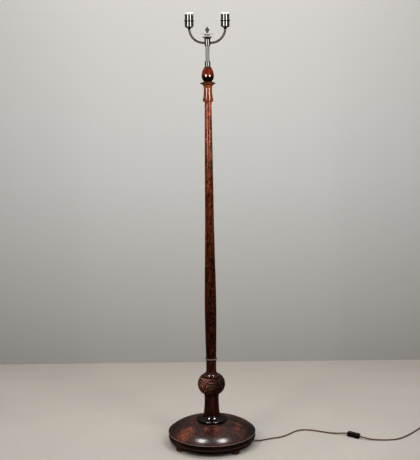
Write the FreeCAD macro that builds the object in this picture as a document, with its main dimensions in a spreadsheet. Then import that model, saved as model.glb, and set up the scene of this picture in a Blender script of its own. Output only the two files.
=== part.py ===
import FreeCAD, Part
import math
import os
import re
import Sketcher

# Candlestick floor lamp, in millimetres. The origin is on the floor under the lamp's axis, +Z is
# up and the two arms spread along X. Wooden pieces are turned about Z and stacked on a tie rod;
# a chromed mast slides in a guide tube at the top and carries two lampholders.

SIZES = {
    # Four bun feet on a circle, the first one foot_turn degrees from +X.
    "foot_height": 14,
    "foot_radius": 17.7,
    "foot_seat": 12.5,
    "foot_circle": 153,
    "foot_turn": 36,
    "dowel_radius": 5,
    "dowel_length": 12,
    # Base disc, heights measured from its underside.
    "base_under": 165.5,
    "under_bow": 1.2,
    "base_radius": 172,
    "ridge_height": 14.2,
    "ridge_bead": 1.6,
    "band_height": 33,
    "lip_bead": 2.4,
    "shoulder_radius": 140,
    "shoulder_height": 56.7,
    "shoulder_bow": 1.7,
    "seat_radius": 57,
    "seat_height": 78,
    "dome_bow": 3.65,
    "recess_radius": 118,
    "recess_depth": 38,
    # Ballast plate in the recess.
    "ballast_radius": 112,
    "ballast_thickness": 16,
    "ballast_screw_circle": 90,
    "bolt_radius": 2.5,
    "bolt_grip": 9,
    "bolt_head": 5,
    "bolt_head_height": 3,
    # Tie rod, its washer, nut and the insert in the foot of the shaft.
    "rod_radius": 5,
    "rod_bore": 3.5,
    "rod_tail": 2.5,
    "rod_grip": 26,
    "washer_radius": 15,
    "washer_thickness": 2,
    "nut_flats": 14,
    "nut_thickness": 5.5,
    "insert_radius": 8,
    "insert_length": 30,
    # Fits: glued tenons, screw threads, sliding and turning pieces.
    "glue_gap": 0.1,
    "slide_gap": 0.05,
    "turn_gap": 0.1,
    "open_gap": 0.3,
    "drill_gap": 1,
    # Pedestal.
    "pedestal_height": 110,
    "pedestal_rim": 57.4,
    "rim_roll": 2.6,
    "rim_height": 8.8,
    "cove_radius": 55,
    "cove_start": 9.6,
    "cove_top": 36,
    "cove_neck": 31,
    "column_radius": 28.2,
    "column_start": 78,
    "column_bow": 0.5,
    "foot_tenon_radius": 14,
    "foot_tenon_length": 20,
    # Carved ball.
    "ball_radius": 54.25,
    "ball_height": 70,
    "ball_waist": 40,
    "ball_foot": 32.5,
    "ball_crown": 42.5,
    "tenon_radius": 12,
    "tenon_length": 15,
    # Neck with its rolled foot, and the bead ring on it.
    "neck_height": 69.6,
    "neck_foot": 35,
    "neck_roll": 1.5,
    "neck_roll_height": 6.4,
    "neck_radius": 19.8,
    "neck_cove_top": 26,
    "bead_radius": 21,
    "bead_thickness": 5.8,
    "bead_roll": 2.7,
    "neck_tenon_radius": 10,
    "neck_tenon_length": 24,
    # Main shaft.
    "shaft_length": 1000.2,
    "shaft_foot": 19.9,
    "belly_radius": 22.75,
    "belly_height": 200,
    "waist_radius": 19.7,
    "waist_height": 392,
    "rise_radius": 17.1,
    "rise_height": 550,
    "shaft_top": 13.2,
    "taper_height": 970,
    "taper_bulge": 0.4,
    "cord_bore": 6.5,
    "slack_depth": 168,
    # Capital.
    "capital_height": 76.4,
    "capital_foot": 14.5,
    "capital_seat": 15,
    "torus_radius": 20.3,
    "torus_waist": 7.4,
    "torus_top": 12.6,
    "torus_groove": 1.3,
    "capital_waist": 15.7,
    "waist_rise": 52.4,
    "abacus_radius": 29.5,
    "abacus_under": 67.9,
    "abacus_edge": 3.5,
    "abacus_round": 0.8,
    # Egg-shaped knop.
    "knop_height": 53.8,
    "knop_foot": 14.3,
    "knop_radius": 23.1,
    "knop_waist": 20.6,
    "knop_crown": 13.4,
    "knop_round": 1.8,
    # Guide tube, split collet and clamp nut.
    "guide_radius": 9.6,
    "guide_wall": 0.8,
    "guide_depth": 178,
    "guide_thread": 12,
    "collet_depth": 28,
    "collet_nose": 7,
    "collet_taper": 0.9,
    "collet_slot": 1.2,
    "nut_height": 22.2,
    "nut_radius": 10.75,
    "nut_flare": 0.35,
    "nut_foot": 2.4,
    "nut_bevel": 2.2,
    "nut_bevel_height": 4,
    # Mast tube and its swaged stop.
    "mast_radius": 7.35,
    "mast_wall": 1,
    "mast_show": 54.5,
    "mast_hidden": 126,
    "mast_seat": 7.5,
    "stop_height": 6,
    "stop_taper": 1,
    # Arm hub and the bent arms.
    "hub_radius": 11,
    "hub_height": 25.5,
    "hub_bevel": 2.5,
    "hub_bow": 0.6,
    "hub_cavity": 6.4,
    "hub_roof": 6,
    "arm_height": 12.5,
    "arm_root": 7.4,
    "arm_start": 14,
    "arm_bend": 53,
    "arm_radius": 4.4,
    "arm_wall": 0.8,
    "arm_tip": 3,
    # Cup, shade dish, stud and finial on the hub.
    "cup_foot": 10.4,
    "cup_radius": 19.5,
    "cup_height": 9.2,
    "cup_lip": 1,
    "cup_hollow": 1.1,
    "cup_skin": 1.2,
    "dish_neck": 8,
    "dish_rise": 8.5,
    "dish_radius": 27.5,
    "dish_height": 18.8,
    "dish_skin": 1,
    "stud_radius": 2.95,
    "stud_length": 33,
    "stud_tail": 1,
    "finial_stem": 4,
    "finial_stem_height": 21,
    "finial_hollow": 0.9,
    "finial_radius": 8.8,
    "finial_swell": 0.5,
    "finial_waist": 31.3,
    "finial_height": 43,
    "finial_tip": 0.7,
    # Lampholder, heights measured from the foot of its neck.
    "cap_neck": 5.5,
    "cap_throat": 7.6,
    "cap_throat_height": 6,
    "cap_radius": 16.5,
    "cap_shoulder": 12.2,
    "cap_height": 29.2,
    "cap_wall": 0.8,
    "ring_lip": 1.25,
    "ring_height": 6,
    "ring_bevel": 0.6,
    "sleeve_radius": 16,
    "sleeve_height": 55.2,
    "sleeve_wall": 1,
    "skirt_length": 8,
    "block_top": 31,
    "block_radius": 14.2,
    "block_floor": 13.2,
    "block_bevel": 1.4,
    "shell_radius": 13.3,
    "shell_wall": 0.5,
    "shell_height": 23,
    "shell_eye": 6,
    "rim_radius": 16.5,
    "rim_thickness": 6,
    "rim_round": 1.5,
    "contact_width": 4,
    "contact_reach": 4.5,
    "contact_tip": 3.5,
    "contact_well": 3.1,
    "contact_sink": 0.2,
    "contact_skin": 0.5,
    "terminal_offset": 8,
    "terminal_radius": 1.4,
    "terminal_head": 2.4,
    "terminal_rise": 2,
    "terminal_grip": 6,
    # Cord, its clamp under the base and the slack under the mast.
    "cord_radius": 2.8,
    "cord_bend": 16,
    "wire_radius": 2.2,
    "slack_radius": 6,
    "exit_reach": 139,
    "clamp_length": 12,
    "clamp_width": 26,
    "clamp_skin": 1.2,
    "clamp_screw": 9,
    "clamp_head": 3,
    "clamp_head_height": 1.8,
    # Inline switch, lying turned from +X by switch_turn degrees.
    "switch_reach": 569.75,
    "switch_side": 29.85,
    "switch_turn": -38,
    "switch_length": 53,
    "switch_width": 20.5,
    "switch_height": 18.6,
    "switch_split": 9.2,
    "switch_wall": 1.8,
    "switch_end": 6,
    "switch_corner": 4.5,
    "switch_round": 2.8,
    "rocker_length": 14,
    "rocker_width": 7,
    "rocker_slant": 1,
    "rocker_rise": 4.6,
    "rocker_dip": 1.2,
    "rocker_pivot": 14.2,
    "rocker_axle": 1.6,
    "rocker_tilt": 8,
    "rocker_gap": 1,
    "strip_length": 26,
    "strip_width": 5,
    # Coil of the rest of the cord.
    "coil_reach": 925,
    "coil_side": 139,
    "coil_radius": 31,
    "coil_width": 11.2,
    "coil_height": 16.8,
    "floor_gap": 0.1,
    # Two-pin plug.
    "plug_length": 34,
    "plug_width": 35.3,
    "plug_waist": 31.3,
    "plug_height": 13.7,
    "plug_shoulder": 14,
    "boot_length": 22,
    "boot_radius": 4.8,
    "boot_tip": 3.5,
    "plug_distance": 58,
    "pin_radius": 2,
    "pin_length": 19,
    "pin_spacing": 19,
}

# Heights above the floor, each stacked on the piece below it.
LEVELS = {
    "base_level": "foot_height",
    "recess_level": "base_level + recess_depth",
    "ballast_level": "recess_level - ballast_thickness",
    "washer_level": "ballast_level - washer_thickness",
    "nut_under": "washer_level - nut_thickness",
    "rod_level": "nut_under - rod_tail",
    "pedestal_level": "base_level + seat_height",
    "ball_level": "pedestal_level + pedestal_height",
    "neck_level": "ball_level + ball_height",
    "bead_level": "neck_level + neck_height",
    "shaft_level": "bead_level + bead_thickness",
    "mortise_depth": "neck_tenon_length - bead_thickness + glue_gap",
    "insert_level": "shaft_level + mortise_depth",
    "capital_level": "shaft_level + shaft_length",
    "knop_level": "capital_level + capital_height",
    "nut_level": "knop_level + knop_height",
    "guide_bore": "guide_radius - guide_wall",
    "guide_top": "nut_level + guide_thread",
    "mast_level": "nut_level - mast_hidden",
    "hub_level": "nut_level + nut_height + mast_show",
    "arm_level": "hub_level + arm_height",
    "holder_reach": "arm_start + arm_bend",
    "holder_level": "arm_level + arm_bend",
    "neck_sink": "arm_tip",
    "cup_level": "hub_level + hub_height",
    "dish_level": "cup_level + cup_skin",
    "finial_level": "dish_level + cup_skin",
    "cord_level": "foot_height - cord_radius",
    "slack_level": "capital_level - slack_depth",
    "cap_bore": "cap_radius - cap_wall",
    "ring_radius": "cap_radius + ring_lip",
    "sleeve_bore": "sleeve_radius - sleeve_wall",
    "skirt_floor": "cap_height - skirt_length",
    "holder_height": "sleeve_height + rim_thickness",
    "well_floor": "block_top - contact_well",
    "contact_top": "block_top + shell_wall - contact_sink",
}

doc = FreeCAD.newDocument("FloorLamp")
sheet = doc.addObject("Spreadsheet::Sheet", "Sizes")
for row, (alias, size) in enumerate(SIZES.items(), start=1):
    sheet.set(f"A{row}", alias)
    sheet.set(f"B{row}", str(size))
    sheet.setAlias(f"B{row}", alias)
doc.recompute()

nodes = {}


def bound(text):
    """The expression with every size replaced by its cell."""

    def cell(match):
        word = match.group(0)
        if word in LEVELS:
            return f"({bound(LEVELS[word])})"
        return f"Sizes.{word}" if word in SIZES else word

    return re.sub(r"[a-z_]+", cell, text)


def number(text):
    """What an expression of sizes comes to now."""
    return float(sheet.evalExpression(bound(text)))


def keep(piece, label):
    piece.Label = label
    nodes[label] = piece
    return piece


def place(piece, x="0", y="0", z="0", turn="0"):
    """Puts a piece by expressions, turned about Z."""
    spin = FreeCAD.Rotation(FreeCAD.Vector(0, 0, 1), number(turn))
    piece.Placement = FreeCAD.Placement(FreeCAD.Vector(number(x), number(y), number(z)), spin)
    for axis, text in zip("xyz", (x, y, z)):
        piece.setExpression(f".Placement.Base.{axis}", bound(text))
    return piece


# Sketches ---------------------------------------------------------------------------------------


def bulge(size, side):
    """An edge that bows by size towards side: out or in from the axis, up or down."""
    return ("bulge", size, side)


def upright(side):
    """An arc that runs vertical at its widest or narrowest end."""
    return ("upright", "0", side)


def level(side):
    """An arc that runs horizontal at its highest or lowest end."""
    return ("level", "0", side)


SIDES = {"out": (1, 0), "in": (-1, 0), "up": (0, 1), "down": (0, -1)}


def arc_radius(start, end, curve):
    kind, size, _ = curve
    across = f"({end[0]} - ({start[0]}))"
    rise = f"({end[1]} - ({start[1]}))"
    chord = f"({across}^2 + {rise}^2)"
    if kind == "bulge":
        return f"{chord} / (8 * ({size})) + ({size}) / 2"
    flat = across if kind == "upright" else rise
    return f"{chord} / (2 * abs({flat}))"


def arc_edge(start, end, radius, side):
    """The short arc from start to end that bows towards side, and which of its ends comes first."""
    chord = end - start
    normal = FreeCAD.Vector(-chord.y, chord.x, 0)
    normal.normalize()
    if normal.x * SIDES[side][0] + normal.y * SIDES[side][1] < 0:
        normal = -normal
    depth = math.sqrt(max(radius**2 - chord.Length**2 / 4, 0))
    centre = (start + end) / 2 - normal * depth
    angles = [math.atan2(point.y - centre.y, point.x - centre.x) for point in (start, end)]
    forward = (start - centre).cross(end - centre).z > 0
    circle = Part.Circle(centre, FreeCAD.Vector(0, 0, 1), radius)
    if forward:
        return Part.ArcOfCircle(circle, angles[0], angles[1]), (1, 2)
    return Part.ArcOfCircle(circle, angles[1], angles[0]), (2, 1)


def origin_plane(body, role):
    return next(item for item in body.Origin.OriginFeatures if item.Role == role)


def new_sketch(body, name, role="XZ_Plane"):
    sketch = body.newObject("Sketcher::SketchObject", name)
    sketch.AttachmentSupport = (origin_plane(body, role), [""])
    sketch.MapMode = "FlatFace"
    return sketch


def pin_point(sketch, edge, end, x, y, name):
    """Ties one end of an edge to its two sizes."""
    for kind, text, axis in (("DistanceX", x, -2), ("DistanceY", y, -1)):
        if text == "0":
            sketch.addConstraint(Sketcher.Constraint("PointOnObject", edge, end, axis))
            continue
        rule = sketch.addConstraint(Sketcher.Constraint(kind, -1, 1, edge, end, number(text)))
        sketch.renameConstraint(rule, f"{name}_{kind[-1].lower()}")
        sketch.setExpression(f"Constraints.{name}_{kind[-1].lower()}", bound(text))


def draw(sketch, outline, closed=True):
    """Draws an outline of corners. A corner's third entry is the arc that leads to it."""
    corners = [FreeCAD.Vector(number(point[0]), number(point[1]), 0) for point in outline]
    count = len(outline) if closed else len(outline) - 1
    ends = []
    for index in range(count):
        after = (index + 1) % len(outline)
        goal = outline[after]
        if len(goal) == 2:
            edge = sketch.addGeometry(Part.LineSegment(corners[index], corners[after]), False)
            ends.append((edge, 1, 2))
            continue
        text = arc_radius(outline[index], goal, goal[2])
        arc, (first, last) = arc_edge(corners[index], corners[after], number(text), goal[2][2])
        edge = sketch.addGeometry(arc, False)
        ends.append((edge, first, last))
    for index in range(count if closed else count - 1):
        edge, _, last = ends[index]
        following, first, _ = ends[(index + 1) % count]
        sketch.addConstraint(Sketcher.Constraint("Coincident", edge, last, following, first))
    for index, (edge, first, last) in enumerate(ends):
        pin_point(sketch, edge, first, outline[index][0], outline[index][1], f"corner_{index}")
    if not closed:
        edge, _, last = ends[-1]
        pin_point(sketch, edge, last, outline[-1][0], outline[-1][1], f"corner_{count}")
    for index, (edge, _, _) in enumerate(ends):
        goal = outline[(index + 1) % len(outline)]
        if len(goal) == 3:
            text = arc_radius(outline[index], goal, goal[2])
            rule = sketch.addConstraint(Sketcher.Constraint("Radius", edge, number(text)))
            sketch.renameConstraint(rule, f"curve_{index}")
            sketch.setExpression(f"Constraints.curve_{index}", bound(text))
    return sketch


def draw_circle(sketch, radius, x="0", y="0"):
    centre = FreeCAD.Vector(number(x), number(y), 0)
    circle = Part.Circle(centre, FreeCAD.Vector(0, 0, 1), number(radius))
    edge = sketch.addGeometry(circle, False)
    pin_point(sketch, edge, 3, x, y, f"centre_{edge}")
    rule = sketch.addConstraint(Sketcher.Constraint("Radius", edge, number(radius)))
    sketch.renameConstraint(rule, f"radius_{edge}")
    sketch.setExpression(f"Constraints.radius_{edge}", bound(radius))
    return sketch


def draw_box(sketch, length, width):
    """A rectangle about the origin, from its first corner round."""
    half = (number(length) / 2, number(width) / 2)
    signs = ((-1, -1), (1, -1), (1, 1), (-1, 1))
    corners = [FreeCAD.Vector(half[0] * x, half[1] * y, 0) for x, y in signs]
    edges = []
    for index in range(4):
        line = Part.LineSegment(corners[index], corners[(index + 1) % 4])
        edges.append(sketch.addGeometry(line, False))
    for index in range(4):
        following = edges[(index + 1) % 4]
        sketch.addConstraint(Sketcher.Constraint("Coincident", edges[index], 2, following, 1))
        flat = "Horizontal" if index % 2 == 0 else "Vertical"
        sketch.addConstraint(Sketcher.Constraint(flat, edges[index]))
    sketch.addConstraint(Sketcher.Constraint("Symmetric", edges[0], 1, edges[1], 2, -1, 1))
    for kind, edge, text in (("DistanceX", edges[0], length), ("DistanceY", edges[1], width)):
        rule = sketch.addConstraint(Sketcher.Constraint(kind, edge, 1, edge, 2, number(text)))
        sketch.renameConstraint(rule, f"side_{edge}")
        sketch.setExpression(f"Constraints.side_{edge}", bound(text))
    return sketch


# Features ---------------------------------------------------------------------------------------


def new_body(label, x="0", y="0", z="0", turn="0"):
    body = doc.addObject("PartDesign::Body", label)
    place(body, x, y, z, turn)
    return keep(body, label)


def turned(label, outline, x="0", y="0", z="0"):
    """A piece turned about its own Z axis."""
    body = new_body(label, x, y, z)
    sketch = draw(new_sketch(body, f"{label}_outline"), outline)
    turning = body.newObject("PartDesign::Revolution", f"{label}_turning")
    turning.Profile = (sketch, [""])
    turning.ReferenceAxis = (sketch, ["V_Axis"])
    turning.Angle = 360
    return body


def pad(body, sketch, height, name):
    feature = body.newObject("PartDesign::Pad", name)
    feature.Profile = (sketch, [""])
    feature.setExpression("Length", bound(height))
    return feature


def pocket(body, sketch, depth, name, onward=False):
    """Cuts a sketch into a body against its plane's normal, or onward along it."""
    doc.recompute()
    before = body.Shape.Volume
    feature = body.newObject("PartDesign::Pocket", name)
    feature.Profile = (sketch, [""])
    feature.setExpression("Length", bound(depth))
    feature.Reversed = onward
    doc.recompute()
    if body.Shape.Volume >= before:
        raise ValueError(f"{name} cuts nothing")
    return feature


def pocket_both_ways(body, sketch, width, name):
    """Cuts a sketch into a body to the same depth on both sides of its plane."""
    doc.recompute()
    before = body.Shape.Volume
    feature = body.newObject("PartDesign::Pocket", name)
    feature.Profile = (sketch, [""])
    feature.SideType = "Symmetric"
    feature.setExpression("Length", bound(width))
    doc.recompute()
    if body.Shape.Volume >= before:
        raise ValueError(f"{name} cuts nothing")
    return feature


def round_edges(body, feature, radius, chosen, name):
    """Rounds the edges of a feature that the test chooses."""
    doc.recompute()
    picked = [f"Edge{i}" for i, edge in enumerate(feature.Shape.Edges, 1) if chosen(edge)]
    fillet = body.newObject("PartDesign::Fillet", name)
    fillet.Base = (feature, picked)
    fillet.setExpression("Radius", bound(radius))
    return fillet


def polar(body, feature, count, name):
    pattern = body.newObject("PartDesign::PolarPattern", name)
    pattern.Originals = [feature]
    pattern.Axis = (origin_plane(body, "Z_Axis"), [""])
    pattern.Angle = 360
    pattern.Occurrences = count
    body.Tip = pattern
    return pattern


def swept(label, route, radius, bore=None, x="0", z="0", turn="0"):
    """A tube or rod along a route in its own XZ plane that starts at its origin along X."""
    body = new_body(label, x, "0", z, turn)
    path = draw(new_sketch(body, f"{label}_route"), route, closed=False)
    section = draw_circle(new_sketch(body, f"{label}_section", "YZ_Plane"), radius)
    if bore:
        draw_circle(section, bore)
    pipe = body.newObject("PartDesign::AdditivePipe", f"{label}_sweep")
    pipe.Profile = (section, [""])
    pipe.Spine = (path, [f"Edge{i + 1}" for i in range(len(route) - 1)])
    return body


def rod(label, radius, length, x="0", y="0", z="0", bore=None):
    """A straight round bar or tube."""
    outline = [(bore or "0", "0"), (radius, "0"), (radius, length), (bore or "0", length)]
    return turned(label, outline, x, y, z)


def group(label, pieces):
    """Several separate solids in one node."""
    joined = doc.addObject("Part::Compound", label)
    joined.Links = pieces
    return keep(joined, label)


def screw(name, head, head_height, shank, shank_length, x, y, z):
    """A screw driven upward, with the underside of its head at z."""
    bars = []
    for part, radius, length, foot in (
        ("head", head, head_height, z),
        ("shank", shank, shank_length, f"{z} + {head_height}"),
    ):
        bar = doc.addObject("Part::Cylinder", f"{name}_{part}")
        bar.setExpression("Radius", bound(radius))
        bar.setExpression("Height", bound(length))
        place(bar, x, y, foot)
        bars.append(bar)
    whole = doc.addObject("Part::Fuse", name)
    whole.Base, whole.Tool = bars
    return whole


# Base -------------------------------------------------------------------------------------------


def drill_screw_circle(body, depth):
    """The three holes for the ballast's screws, drilled up from the body's foot."""
    x, y = "ballast_screw_circle * cos(60)", "ballast_screw_circle * sin(60)"
    name = f"{body.Name}_screw_hole"
    hole = draw_circle(new_sketch(body, f"{name}_circle", "XY_Plane"), "bolt_radius", x, y)
    drilling = pocket(body, hole, depth, name, onward=True)
    polar(body, drilling, 3, f"{name}s")


def make_base():
    outline = [
        ("rod_radius + glue_gap", "recess_depth"),
        ("recess_radius", "recess_depth"),
        ("recess_radius", "0"),
        ("base_under", "0"),
        ("base_radius", "ridge_height", bulge("under_bow", "out")),
        ("base_radius", "ridge_height + ridge_bead", bulge("ridge_bead * 0.45", "out")),
        ("base_radius", "band_height"),
        ("base_radius", "band_height + lip_bead", bulge("lip_bead * 0.45", "out")),
        ("shoulder_radius", "shoulder_height", bulge("shoulder_bow", "up")),
        ("seat_radius", "seat_height", bulge("dome_bow", "up")),
        ("foot_tenon_radius + glue_gap", "seat_height"),
        ("foot_tenon_radius + glue_gap", "seat_height - foot_tenon_length - drill_gap"),
        ("rod_radius + glue_gap", "seat_height - foot_tenon_length - drill_gap"),
    ]
    base = turned("base_disc", outline, z="base_level")
    holes = draw_circle(
        new_sketch(base, "dowel_circle", "XY_Plane"),
        "dowel_radius + glue_gap",
        "foot_circle * cos(foot_turn)",
        "foot_circle * sin(foot_turn)",
    )
    drilling = pocket(base, holes, "dowel_length + drill_gap", "dowel_hole", onward=True)
    polar(base, drilling, 4, "dowel_holes")
    drill_screw_circle(base, "recess_depth + bolt_grip + drill_gap")


def make_feet():
    outline = [
        ("0", "0"),
        ("foot_seat", "0"),
        ("foot_radius", "foot_height / 2", upright("out")),
        ("foot_seat", "foot_height", upright("out")),
        ("dowel_radius", "foot_height"),
        ("dowel_radius", "foot_height + dowel_length"),
        ("0", "foot_height + dowel_length"),
    ]
    corners = ("back_right", "back_left", "front_left", "front_right")
    for quarter, corner in enumerate(corners):
        angle = f"(foot_turn + {90 * quarter})"
        x, y = f"foot_circle * cos{angle}", f"foot_circle * sin{angle}"
        turned(f"foot_{corner}", outline, x, y)


def make_ballast():
    rod(
        "ballast_plate",
        "ballast_radius",
        "ballast_thickness",
        z="ballast_level",
        bore="rod_radius + glue_gap",
    )
    drill_screw_circle(nodes["ballast_plate"], "ballast_thickness")
    screws = []
    for third in range(3):
        angle = f"({60 + 120 * third})"
        x, y = f"ballast_screw_circle * cos{angle}", f"ballast_screw_circle * sin{angle}"
        screws.append(
            screw(
                f"ballast_screw_{third}",
                "bolt_head",
                "bolt_head_height",
                "bolt_radius",
                "ballast_thickness + bolt_grip",
                x,
                y,
                "ballast_level - bolt_head_height",
            )
        )
    group("ballast_screws", screws)


def make_tie_rod():
    rod(
        "tie_rod",
        "rod_radius",
        "insert_level - rod_level + rod_grip",
        z="rod_level",
        bore="rod_bore",
    )
    rod("tie_washer", "washer_radius", "washer_thickness", z="washer_level", bore="rod_radius")
    rod("shaft_insert", "insert_radius", "insert_length", z="insert_level", bore="rod_radius")
    prism = doc.addObject("Part::Prism", "nut_prism")
    prism.Polygon = 6
    prism.setExpression("Circumradius", bound("nut_flats / 2 / cos(30)"))
    prism.setExpression("Height", bound("nut_thickness"))
    thread = doc.addObject("Part::Cylinder", "nut_thread")
    thread.setExpression("Radius", bound("rod_radius"))
    thread.setExpression("Height", bound("nut_thickness"))
    for piece in (prism, thread):
        place(piece, z="nut_under")
    nut = doc.addObject("Part::Cut", "tie_nut")
    nut.Base, nut.Tool = prism, thread
    keep(nut, "tie_nut")


# Turned column ----------------------------------------------------------------------------------


def make_pedestal():
    outline = [
        ("rod_radius + glue_gap", "0"),
        ("foot_tenon_radius", "0"),
        ("foot_tenon_radius", "foot_tenon_length"),
        ("pedestal_rim", "foot_tenon_length"),
        ("pedestal_rim", "foot_tenon_length + rim_height", bulge("rim_roll", "out")),
        ("cove_radius", "foot_tenon_length + cove_start"),
        ("cove_neck", "foot_tenon_length + cove_top", upright("in")),
        ("column_radius", "foot_tenon_length + column_start", bulge("column_bow", "in")),
        ("column_radius", "foot_tenon_length + pedestal_height"),
        ("tenon_radius", "foot_tenon_length + pedestal_height"),
        ("tenon_radius", "foot_tenon_length + pedestal_height + tenon_length"),
        ("rod_radius + glue_gap", "foot_tenon_length + pedestal_height + tenon_length"),
    ]
    turned("pedestal", outline, z="pedestal_level - foot_tenon_length")


def make_ball():
    mortise = "tenon_radius + glue_gap"
    depth = "tenon_length + drill_gap"
    outline = [
        (mortise, "0"),
        ("ball_foot", "0"),
        ("ball_radius", "ball_waist", upright("out")),
        ("ball_crown", "ball_height", upright("out")),
        (mortise, "ball_height"),
        (mortise, f"ball_height - ({depth})"),
        ("rod_radius + glue_gap", f"ball_height - ({depth})"),
        ("rod_radius + glue_gap", depth),
        (mortise, depth),
    ]
    turned("carved_ball", outline, z="ball_level")


def make_neck():
    top = "tenon_length + neck_height"
    outline = [
        ("rod_radius + glue_gap", "0"),
        ("tenon_radius", "0"),
        ("tenon_radius", "tenon_length"),
        ("neck_foot", "tenon_length"),
        ("neck_foot", "tenon_length + neck_roll_height", bulge("neck_roll", "out")),
        ("neck_radius", "tenon_length + neck_cove_top", upright("in")),
        ("neck_radius", top),
        ("neck_tenon_radius", top),
        ("neck_tenon_radius", f"{top} + neck_tenon_length"),
        ("rod_radius + glue_gap", f"{top} + neck_tenon_length"),
    ]
    turned("neck", outline, z="neck_level - tenon_length")
    ring = [
        ("neck_tenon_radius + glue_gap", "0"),
        ("bead_radius", "0"),
        ("bead_radius", "bead_thickness", bulge("bead_roll", "out")),
        ("neck_tenon_radius + glue_gap", "bead_thickness"),
    ]
    turned("bead_ring", ring, z="bead_level")


def make_shaft():
    outline = [
        ("neck_tenon_radius + glue_gap", "0"),
        ("shaft_foot", "0"),
        ("belly_radius", "belly_height", upright("out")),
        ("waist_radius", "waist_height", upright("out")),
        ("rise_radius", "rise_height"),
        ("shaft_top", "taper_height", bulge("taper_bulge", "out")),
        ("shaft_top", "shaft_length"),
        ("guide_radius + slide_gap", "shaft_length"),
        ("guide_radius + slide_gap", "shaft_length - slack_depth - drill_gap"),
        ("cord_bore", "shaft_length - slack_depth - drill_gap"),
        ("cord_bore", "mortise_depth + insert_length"),
        ("insert_radius", "mortise_depth + insert_length"),
        ("insert_radius", "mortise_depth"),
        ("neck_tenon_radius + glue_gap", "mortise_depth"),
    ]
    turned("main_shaft", outline, z="shaft_level")


def make_capital():
    bore = "guide_radius + slide_gap"
    outline = [
        (bore, "0"),
        ("capital_foot", "0"),
        ("torus_radius", "torus_waist", upright("out")),
        ("torus_radius - torus_groove", "torus_top", upright("out")),
        ("torus_radius - torus_groove * 3 / 2", "torus_top + torus_groove / 2"),
        ("capital_waist", "waist_rise", upright("in")),
        ("abacus_radius - abacus_round", "abacus_under", upright("in")),
        ("abacus_radius - abacus_round", "abacus_under + abacus_edge", bulge("abacus_round", "out")),
        ("capital_seat", "capital_height"),
        (bore, "capital_height"),
    ]
    turned("capital", outline, z="capital_level")


def make_knop():
    bore = "guide_radius + slide_gap"
    outline = [
        (bore, "0"),
        ("knop_foot", "0"),
        ("knop_radius", "knop_waist", upright("out")),
        ("knop_crown", "knop_height - knop_round", upright("out")),
        ("knop_crown - knop_round", "knop_height", level("out")),
        (bore, "knop_height"),
    ]
    turned("egg_knop", outline, z="knop_level")


# Telescopic mast --------------------------------------------------------------------------------


def make_guide():
    length = "guide_depth + guide_thread"
    rod("guide_tube", "guide_radius", length, z="nut_level - guide_depth", bore="guide_bore")


def make_collet():
    inner = "mast_radius + slide_gap"
    outline = [
        (inner, "0"),
        ("guide_bore", "0"),
        ("guide_bore", "collet_depth"),
        ("guide_radius", "collet_depth"),
        ("guide_radius - collet_taper", "collet_depth + collet_nose"),
        (inner, "collet_depth + collet_nose"),
    ]
    collet = turned("split_collet", outline, z="guide_top - collet_depth")
    slot = new_sketch(collet, "slot_outline", "XZ_Plane")
    bottom = "collet_depth / 3"
    top = "collet_depth + collet_nose + drill_gap"
    edges = [
        ("mast_radius - drill_gap", bottom),
        ("guide_radius + drill_gap", bottom),
        ("guide_radius + drill_gap", top),
        ("mast_radius - drill_gap", top),
    ]
    draw(slot, edges)
    cut = pocket_both_ways(collet, slot, "collet_slot", "slot")
    polar(collet, cut, 3, "slots")


def make_clamp_nut():
    throat = "mast_radius + open_gap"
    mouth = "guide_radius + slide_gap"
    cone = "guide_thread + collet_nose"
    outline = [
        (mouth, "open_gap"),
        ("nut_radius + nut_flare", "open_gap"),
        ("nut_radius", "nut_foot"),
        ("nut_radius", "nut_height - nut_bevel_height"),
        ("nut_radius - nut_bevel", "nut_height"),
        (throat, "nut_height"),
        (throat, f"{cone} + open_gap"),
        ("guide_radius - collet_taper + open_gap", f"{cone} + open_gap"),
        ("guide_radius + open_gap", "guide_thread + slide_gap"),
        (mouth, "guide_thread - slide_gap"),
    ]
    turned("clamp_nut", outline, z="nut_level")


def make_mast():
    length = "mast_hidden + nut_height + mast_show + mast_seat"
    outline = [
        ("mast_radius - mast_wall", "0"),
        ("guide_bore - slide_gap", "0"),
        ("guide_bore - slide_gap", "stop_height"),
        ("mast_radius", "stop_height + stop_taper"),
        ("mast_radius", length),
        ("mast_radius - mast_wall", length),
    ]
    turned("mast_tube", outline, z="mast_level")
    rod("mast_cord", "cord_radius", "arm_level + wire_radius - (mast_level)", z="mast_level")


# Head -------------------------------------------------------------------------------------------


def make_hub():
    outline = [
        ("mast_radius", "0"),
        ("hub_radius - hub_bevel", "0"),
        ("hub_radius", "hub_bevel", bulge("hub_bow", "out")),
        ("hub_radius", "hub_height"),
        ("stud_radius", "hub_height"),
        ("stud_radius", "hub_height - hub_roof"),
        ("hub_cavity", "hub_height - hub_roof"),
        ("hub_cavity", "mast_seat"),
        ("mast_radius", "mast_seat"),
    ]
    hub = turned("arm_hub", outline, z="hub_level")
    for side, onward in (("left", False), ("right", True)):
        across = new_sketch(hub, f"{side}_hole", "YZ_Plane")
        hole = draw_circle(across, "arm_radius", "0", "arm_height")
        pocket(hub, hole, "hub_radius + drill_gap", f"{side}_bore", onward)


def arm_route(start):
    """From the hub, out along X and up in a quarter circle, measured from the arm's own end."""
    return [
        ("0", "0"),
        (f"arm_start - {start}", "0"),
        (f"arm_start - {start} + arm_bend", "arm_bend", level("out")),
        (f"arm_start - {start} + arm_bend", "arm_bend + arm_tip"),
    ]


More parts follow.
